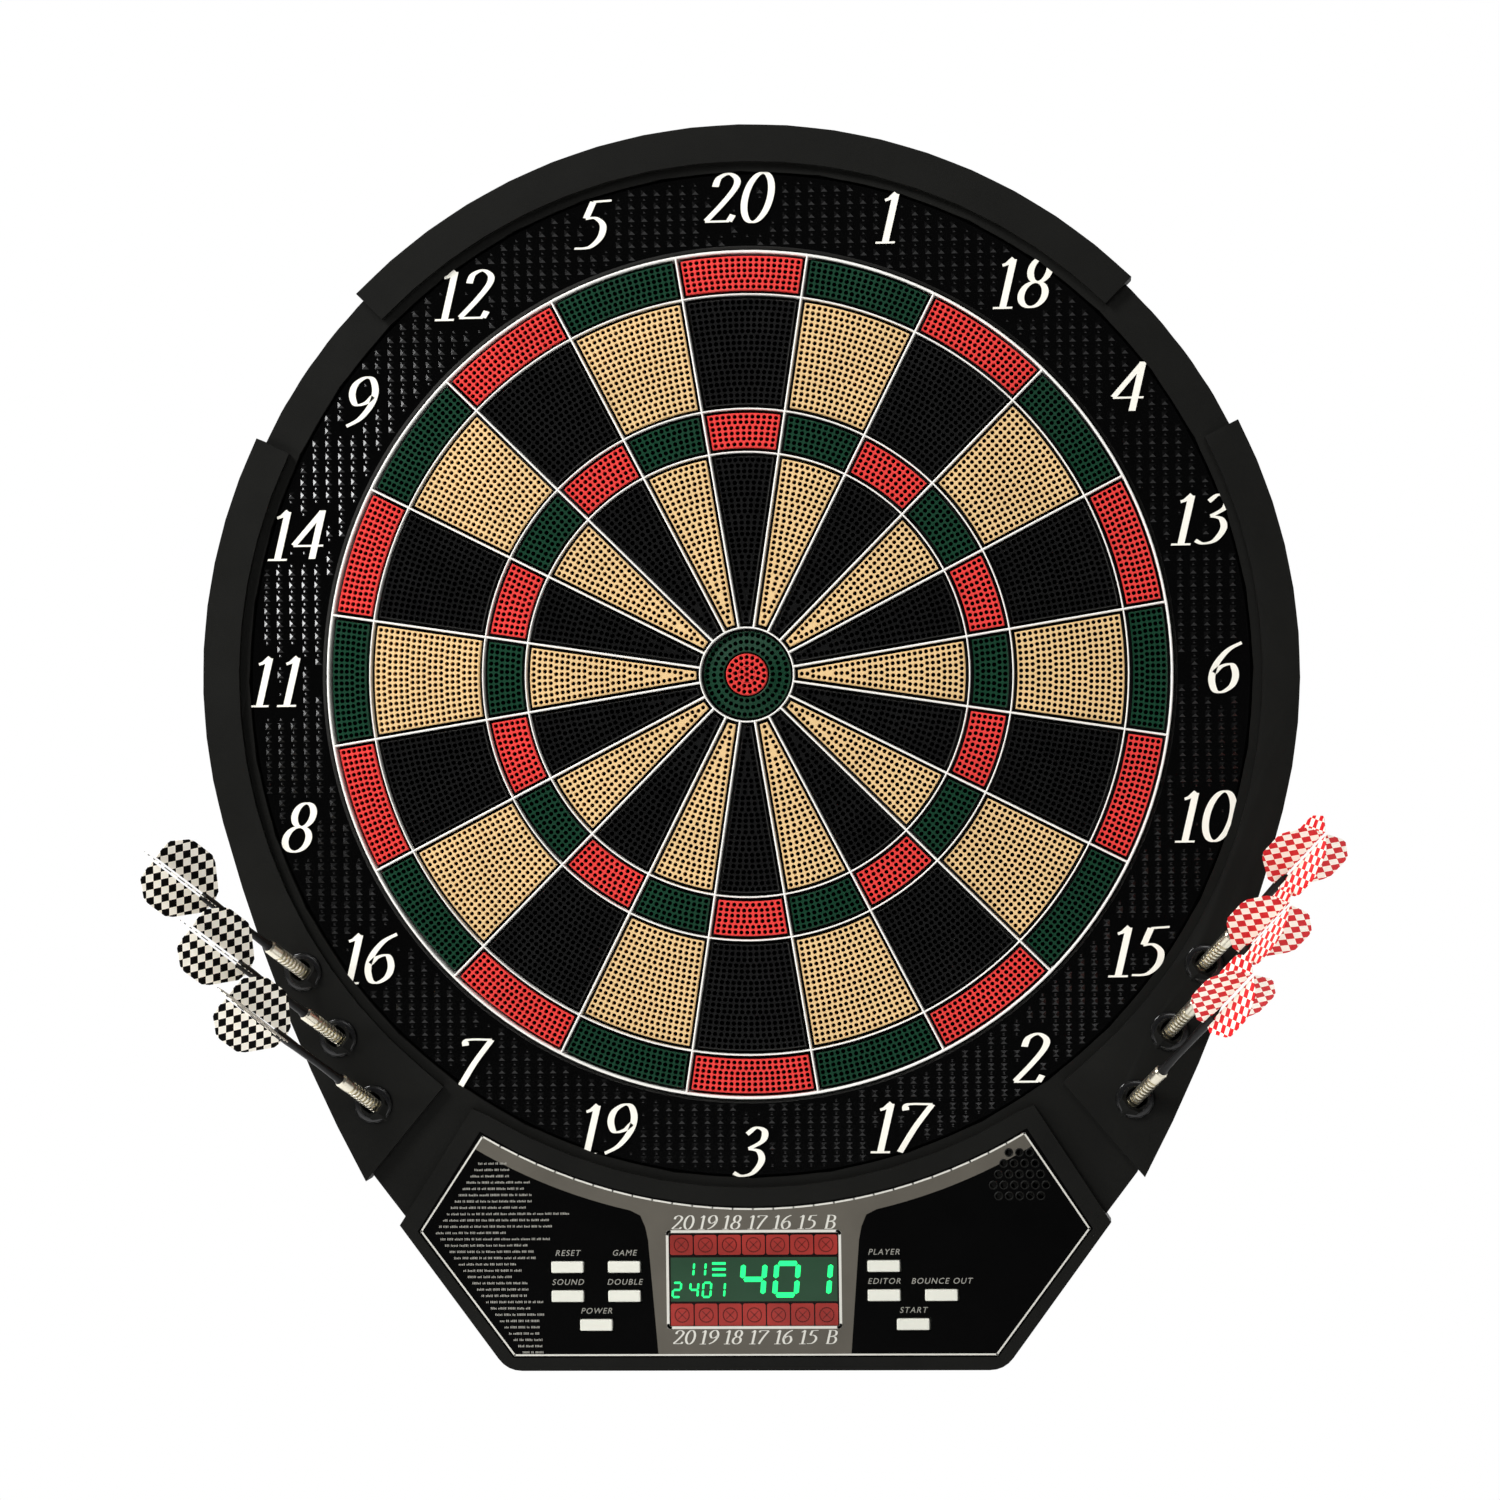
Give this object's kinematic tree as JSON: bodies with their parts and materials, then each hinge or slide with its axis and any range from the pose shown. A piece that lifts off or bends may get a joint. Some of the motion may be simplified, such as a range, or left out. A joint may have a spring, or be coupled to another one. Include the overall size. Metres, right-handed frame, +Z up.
{
  "type": "electronic dartboard",
  "caption": "Electronic soft-tip dartboard with pressable score segments, a display and key console, and darts parked at both sides.",
  "frame": {"origin": "on the flat back of the rear cover, on the axis of the bull", "axes": "+Y into the wall (the board faces -Y), +Z up towards number 20, +X to the right as a player sees it"},
  "size_m": [0.5397, 0.1196, 0.5775],
  "materials": {
    "casing_plastic": "fine moulded texture, black",
    "rear_plastic": "moulded, black",
    "ring_gloss": "high gloss black with small pyramids",
    "number_print": "raised cream white figures",
    "spider_white": "satin white",
    "segment_black": "satin, pierced with small holes",
    "segment_tan": "satin, pierced with small holes",
    "segment_red": "satin, pierced with small holes",
    "segment_green": "satin, pierced with small holes",
    "rubber_black": "matt sheet rubber",
    "sensor_film": "clear film with printed tracks",
    "backing_wood": "pressed hardboard",
    "panel_print": "printed overlay, black and grey with white lines",
    "display_lens": "tinted window in red and green bands",
    "display_dark": "dark glass in a black frame",
    "button_white": "satin off-white",
    "board_green": "circuit board with solder mask",
    "fitting_black": "moulded, black",
    "dart_barrel": "nickel plated brass, ribbed",
    "dart_shaft": "black moulded shaft and tip",
    "flight_black_white": "thin film in black and white checks",
    "flight_red_white": "thin film in red and white checks",
    "screw_steel": "cross-head screws"
  },
  "bodies": {
    "casing": {"front_casing": "casing_plastic", "rear_cover": "rear_plastic", "catch_ring": "ring_gloss", "spider": "spider_white", "rubber_mat": "rubber_black", "sensor_sheet_front": "sensor_film", "sensor_spacer": "sensor_film", "sensor_sheet_rear": "sensor_film", "backing_board": "backing_wood", "control_panel": "panel_print", "display_window": "display_lens", "display_module": "display_dark", "key_pad": "rubber_black", "main_board": "board_green", "speaker": "fitting_black", "dc_jack": "fitting_black"},
    "parked_dart_left_1": {"dart_left_1": "dart_barrel", "flight_left_1": "flight_black_white"},
    "parked_dart_left_2": {"dart_left_2": "dart_barrel", "flight_left_2": "flight_black_white"},
    "parked_dart_left_3": {"dart_left_3": "dart_barrel", "flight_left_3": "flight_black_white"},
    "parked_dart_right_1": {"dart_right_1": "dart_barrel", "flight_right_1": "flight_red_white"},
    "parked_dart_right_2": {"dart_right_2": "dart_barrel", "flight_right_2": "flight_red_white"},
    "parked_dart_right_3": {"dart_right_3": "dart_barrel", "flight_right_3": "flight_red_white"},
    "number_20": {"sector_20": "segment_black"},
    "number_01": {"sector_01": "segment_tan"},
    "number_18": {"sector_18": "segment_black"},
    "number_04": {"sector_04": "segment_tan"},
    "number_13": {"sector_13": "segment_black"},
    "number_06": {"sector_06": "segment_tan"},
    "number_10": {"sector_10": "segment_black"},
    "number_15": {"sector_15": "segment_tan"},
    "number_02": {"sector_02": "segment_black"},
    "number_17": {"sector_17": "segment_tan"},
    "number_03": {"sector_03": "segment_black"},
    "number_19": {"sector_19": "segment_tan"},
    "number_07": {"sector_07": "segment_black"},
    "number_16": {"sector_16": "segment_tan"},
    "number_08": {"sector_08": "segment_black"},
    "number_11": {"sector_11": "segment_tan"},
    "number_14": {"sector_14": "segment_black"},
    "number_09": {"sector_09": "segment_tan"},
    "number_12": {"sector_12": "segment_black"},
    "number_05": {"sector_05": "segment_tan"},
    "bull_outer": {"outer_bull": "segment_green"},
    "bull_inner": {"inner_bull": "segment_red"},
    "key_reset": {"button_reset": "button_white"},
    "key_game": {"button_game": "button_white"},
    "key_sound": {"button_sound": "button_white"},
    "key_double": {"button_double": "button_white"},
    "key_power": {"button_power": "button_white"},
    "key_player": {"button_player": "button_white"},
    "key_editor": {"button_editor": "button_white"},
    "key_bounce_out": {"button_bounce_out": "button_white"},
    "key_start": {"button_start": "button_white"}
  },
  "joints": [
    {"name": "pull_dart_left_1", "type": "slide", "parent": "casing", "child": "parked_dart_left_1", "axis": [-0.4943, -0.7009, 0.5141], "range_m": [0, 0.036]},
    {"name": "pull_dart_left_2", "type": "slide", "parent": "casing", "child": "parked_dart_left_2", "axis": [-0.4943, -0.7009, 0.5141], "range_m": [0, 0.036]},
    {"name": "pull_dart_left_3", "type": "slide", "parent": "casing", "child": "parked_dart_left_3", "axis": [-0.4943, -0.7009, 0.5141], "range_m": [0, 0.036]},
    {"name": "pull_dart_right_1", "type": "slide", "parent": "casing", "child": "parked_dart_right_1", "axis": [0.4847, -0.6694, 0.5631], "range_m": [0, 0.036]},
    {"name": "pull_dart_right_2", "type": "slide", "parent": "casing", "child": "parked_dart_right_2", "axis": [0.4847, -0.6694, 0.5631], "range_m": [0, 0.036]},
    {"name": "pull_dart_right_3", "type": "slide", "parent": "casing", "child": "parked_dart_right_3", "axis": [0.4847, -0.6694, 0.5631], "range_m": [0, 0.036]},
    {"name": "press_20", "type": "slide", "parent": "casing", "child": "number_20", "axis": [0, 1, 0], "range_m": [0, 0.001], "stiffness_N_per_m": 1500},
    {"name": "press_01", "type": "slide", "parent": "casing", "child": "number_01", "axis": [0, 1, 0], "range_m": [0, 0.001], "stiffness_N_per_m": 1500},
    {"name": "press_18", "type": "slide", "parent": "casing", "child": "number_18", "axis": [0, 1, 0], "range_m": [0, 0.001], "stiffness_N_per_m": 1500},
    {"name": "press_04", "type": "slide", "parent": "casing", "child": "number_04", "axis": [0, 1, 0], "range_m": [0, 0.001], "stiffness_N_per_m": 1500},
    {"name": "press_13", "type": "slide", "parent": "casing", "child": "number_13", "axis": [0, 1, 0], "range_m": [0, 0.001], "stiffness_N_per_m": 1500},
    {"name": "press_06", "type": "slide", "parent": "casing", "child": "number_06", "axis": [0, 1, 0], "range_m": [0, 0.001], "stiffness_N_per_m": 1500},
    {"name": "press_10", "type": "slide", "parent": "casing", "child": "number_10", "axis": [0, 1, 0], "range_m": [0, 0.001], "stiffness_N_per_m": 1500},
    {"name": "press_15", "type": "slide", "parent": "casing", "child": "number_15", "axis": [0, 1, 0], "range_m": [0, 0.001], "stiffness_N_per_m": 1500},
    {"name": "press_02", "type": "slide", "parent": "casing", "child": "number_02", "axis": [0, 1, 0], "range_m": [0, 0.001], "stiffness_N_per_m": 1500},
    {"name": "press_17", "type": "slide", "parent": "casing", "child": "number_17", "axis": [0, 1, 0], "range_m": [0, 0.001], "stiffness_N_per_m": 1500},
    {"name": "press_03", "type": "slide", "parent": "casing", "child": "number_03", "axis": [0, 1, 0], "range_m": [0, 0.001], "stiffness_N_per_m": 1500},
    {"name": "press_19", "type": "slide", "parent": "casing", "child": "number_19", "axis": [0, 1, 0], "range_m": [0, 0.001], "stiffness_N_per_m": 1500},
    {"name": "press_07", "type": "slide", "parent": "casing", "child": "number_07", "axis": [0, 1, 0], "range_m": [0, 0.001], "stiffness_N_per_m": 1500},
    {"name": "press_16", "type": "slide", "parent": "casing", "child": "number_16", "axis": [0, 1, 0], "range_m": [0, 0.001], "stiffness_N_per_m": 1500},
    {"name": "press_08", "type": "slide", "parent": "casing", "child": "number_08", "axis": [0, 1, 0], "range_m": [0, 0.001], "stiffness_N_per_m": 1500},
    {"name": "press_11", "type": "slide", "parent": "casing", "child": "number_11", "axis": [0, 1, 0], "range_m": [0, 0.001], "stiffness_N_per_m": 1500},
    {"name": "press_14", "type": "slide", "parent": "casing", "child": "number_14", "axis": [0, 1, 0], "range_m": [0, 0.001], "stiffness_N_per_m": 1500},
    {"name": "press_09", "type": "slide", "parent": "casing", "child": "number_09", "axis": [0, 1, 0], "range_m": [0, 0.001], "stiffness_N_per_m": 1500},
    {"name": "press_12", "type": "slide", "parent": "casing", "child": "number_12", "axis": [0, 1, 0], "range_m": [0, 0.001], "stiffness_N_per_m": 1500},
    {"name": "press_05", "type": "slide", "parent": "casing", "child": "number_05", "axis": [0, 1, 0], "range_m": [0, 0.001], "stiffness_N_per_m": 1500},
    {"name": "press_outer_bull", "type": "slide", "parent": "casing", "child": "bull_outer", "axis": [0, 1, 0], "range_m": [0, 0.001], "stiffness_N_per_m": 800},
    {"name": "press_inner_bull", "type": "slide", "parent": "casing", "child": "bull_inner", "axis": [0, 1, 0], "range_m": [0, 0.001], "stiffness_N_per_m": 800},
    {"name": "press_reset", "type": "slide", "parent": "casing", "child": "key_reset", "axis": [0, 1, 0], "range_m": [0, 0.001], "stiffness_N_per_m": 400},
    {"name": "press_game", "type": "slide", "parent": "casing", "child": "key_game", "axis": [0, 1, 0], "range_m": [0, 0.001], "stiffness_N_per_m": 400},
    {"name": "press_sound", "type": "slide", "parent": "casing", "child": "key_sound", "axis": [0, 1, 0], "range_m": [0, 0.001], "stiffness_N_per_m": 400},
    {"name": "press_double", "type": "slide", "parent": "casing", "child": "key_double", "axis": [0, 1, 0], "range_m": [0, 0.001], "stiffness_N_per_m": 400},
    {"name": "press_power", "type": "slide", "parent": "casing", "child": "key_power", "axis": [0, 1, 0], "range_m": [0, 0.001], "stiffness_N_per_m": 400},
    {"name": "press_player", "type": "slide", "parent": "casing", "child": "key_player", "axis": [0, 1, 0], "range_m": [0, 0.001], "stiffness_N_per_m": 400},
    {"name": "press_editor", "type": "slide", "parent": "casing", "child": "key_editor", "axis": [0, 1, 0], "range_m": [0, 0.001], "stiffness_N_per_m": 400},
    {"name": "press_bounce_out", "type": "slide", "parent": "casing", "child": "key_bounce_out", "axis": [0, 1, 0], "range_m": [0, 0.001], "stiffness_N_per_m": 400},
    {"name": "press_start", "type": "slide", "parent": "casing", "child": "key_start", "axis": [0, 1, 0], "range_m": [0, 0.001], "stiffness_N_per_m": 400}
  ]
}
